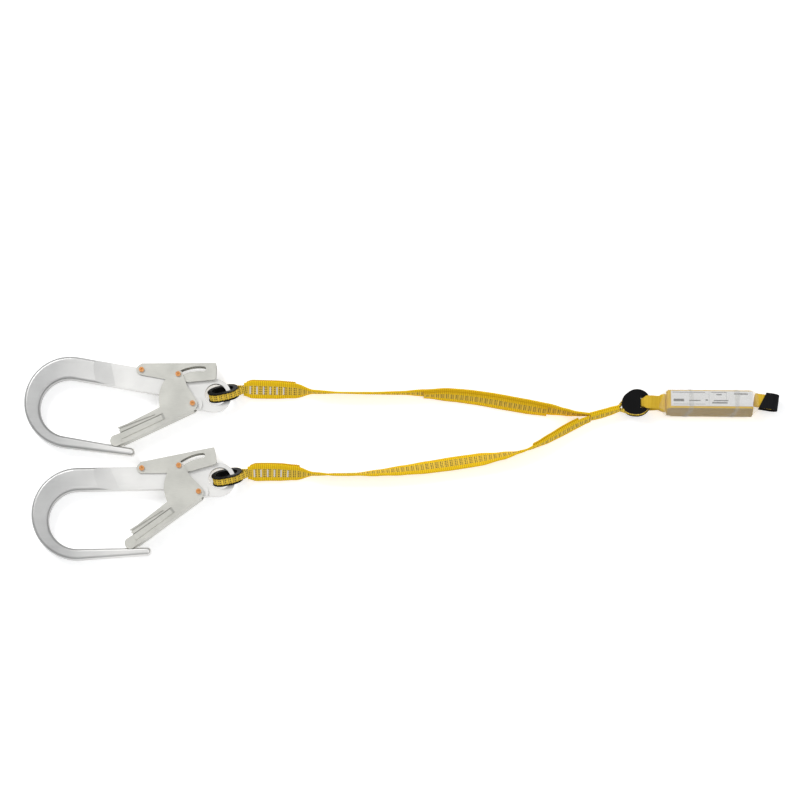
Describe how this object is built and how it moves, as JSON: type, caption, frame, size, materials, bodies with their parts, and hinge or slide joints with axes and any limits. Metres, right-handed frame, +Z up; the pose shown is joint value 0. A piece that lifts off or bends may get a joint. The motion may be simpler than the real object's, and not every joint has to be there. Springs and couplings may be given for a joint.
{
  "type": "shock absorbing lanyard",
  "caption": "Y-shaped webbing fall-arrest lanyard with large scaffold hooks, thimbles, a wrapped tear-webbing energy absorber and a sleeved end loop.",
  "frame": {"origin": "middle of the bottom of the lanyard's box, on the surface it lies on", "axes": "+X along the lanyard from the hooks to the end loop, +Z up from the surface"},
  "size_m": [0.9054, 0.2457, 0.0311],
  "materials": {
    "aluminium": "forged and tumbled, satin",
    "zinc": "zinc plated pressed steel",
    "copper": "copper coloured rivet, satin",
    "spring_steel": "drawn wire",
    "webbing": "woven yellow polyester webbing",
    "thread": "pale sewing thread",
    "black_plastic": "black moulded nylon",
    "black_fabric": "black woven sleeve",
    "clear_film": "clear shrink film",
    "label": "plain white label"
  },
  "bodies": {
    "lanyard": {"leg_a": "webbing", "leg_b": "webbing", "stem": "webbing", "sewn_tail_a": "webbing", "sewn_tail_b": "webbing", "joint_layer_a": "webbing", "joint_layer_b": "webbing", "bar_tacks_a": "thread", "bar_tacks_b": "thread", "thimble_a": "black_plastic", "thimble_b": "black_plastic", "eye_loop_a": "webbing", "eye_loop_b": "webbing", "thimble_centre": "black_plastic", "stem_loop": "webbing"},
    "hook_a": {"hook_body_a": "aluminium", "gate_rivet_a": "copper", "lever_rivet_a": "copper", "pivot_washers_a": "zinc", "gate_spring_a": "spring_steel", "lever_spring_a": "spring_steel"},
    "gate_a": {"gate_shell_a": "zinc", "gate_nose_a": "zinc", "gate_pin_a": "copper"},
    "lever_a": {"lever_a": "zinc"},
    "hook_b": {"hook_body_b": "aluminium", "gate_rivet_b": "copper", "lever_rivet_b": "copper", "pivot_washers_b": "zinc", "gate_spring_b": "spring_steel", "lever_spring_b": "spring_steel"},
    "gate_b": {"gate_shell_b": "zinc", "gate_nose_b": "zinc", "gate_pin_b": "copper"},
    "lever_b": {"lever_b": "zinc"},
    "absorber": {"front_loop": "webbing", "tear_webbing": "webbing", "clear_wrap": "clear_film", "label": "label", "wrap_bands": "clear_film", "end_loop": "webbing", "end_sleeve": "black_fabric"}
  },
  "joints": [
    {"name": "hook_a_swing", "type": "hinge", "parent": "lanyard", "child": "hook_a", "pos_m": [-0.22128, 0.07732, 0.01465], "axis": [0, 0, 1], "range_deg": [-25, 2.5]},
    {"name": "gate_a_open", "type": "hinge", "parent": "hook_a", "child": "gate_a", "pos_m": [-0.24892, 0.06576, 0.01465], "axis": [0, 0, -1], "range_deg": [0, 33], "stiffness_Nm_per_rad": 0.4, "springref_deg": -20.05},
    {"name": "lever_a_press", "type": "hinge", "parent": "hook_a", "child": "lever_a", "pos_m": [-0.3103, 0.1068, 0.01465], "axis": [0, 0, -1], "range_deg": [0, 2.7]},
    {"name": "hook_b_swing", "type": "hinge", "parent": "lanyard", "child": "hook_b", "pos_m": [-0.21588, -0.02408, 0.01465], "axis": [0, 0, 1], "range_deg": [-2, 25]},
    {"name": "gate_b_open", "type": "hinge", "parent": "hook_b", "child": "gate_b", "pos_m": [-0.24075, -0.04078, 0.01465], "axis": [0, 0, -1], "range_deg": [0, 33], "stiffness_Nm_per_rad": 0.4, "springref_deg": -20.05},
    {"name": "lever_b_press", "type": "hinge", "parent": "hook_b", "child": "lever_b", "pos_m": [-0.30893, -0.01245, 0.01465], "axis": [0, 0, -1], "range_deg": [0, 2.7]},
    {"name": "absorber_swing", "type": "hinge", "parent": "lanyard", "child": "absorber", "pos_m": [0.28392, 0.06772, 0.01575], "axis": [0, 0, 1], "range_deg": [-3.5, 3.5]}
  ],
  "couplings": [
    {"joint": "lever_a_press", "follows": "gate_a_open", "ratio": 0.08},
    {"joint": "lever_b_press", "follows": "gate_b_open", "ratio": 0.08}
  ]
}
